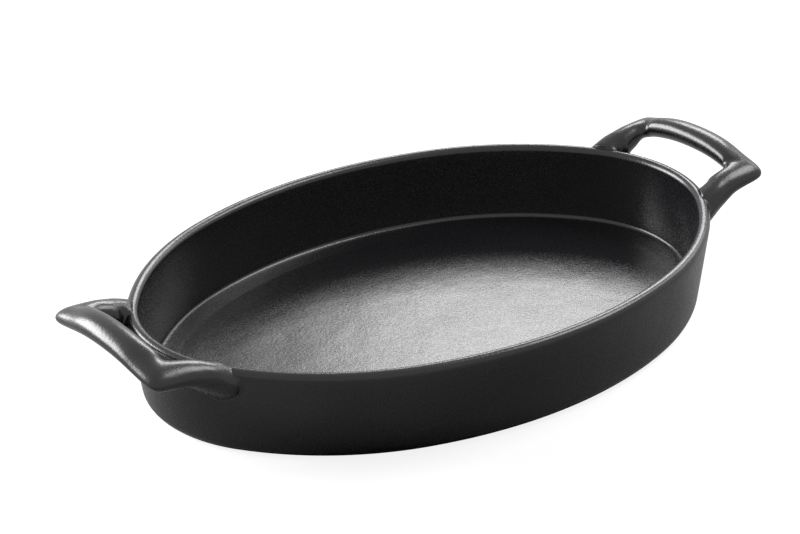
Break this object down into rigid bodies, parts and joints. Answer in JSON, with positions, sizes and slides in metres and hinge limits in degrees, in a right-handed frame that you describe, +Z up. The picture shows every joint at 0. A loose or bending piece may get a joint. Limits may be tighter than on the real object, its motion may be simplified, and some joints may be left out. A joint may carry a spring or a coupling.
{
  "type": "oval gratin dish",
  "caption": "Oval ceramic gratin dish in a near-black glaze, with steep walls and a looped handle at each end.",
  "frame": {"origin": "on the table plane, under the middle of the dish", "axes": "+X along the dish towards the right handle, +Y across it, +Z up out of the dish"},
  "size_m": [0.3592, 0.2158, 0.0605],
  "materials": {
    "glaze": "satin"
  },
  "bodies": {
    "root": {"dish_body": "glaze", "handle_left": "glaze", "handle_right": "glaze"}
  },
  "joints": []
}
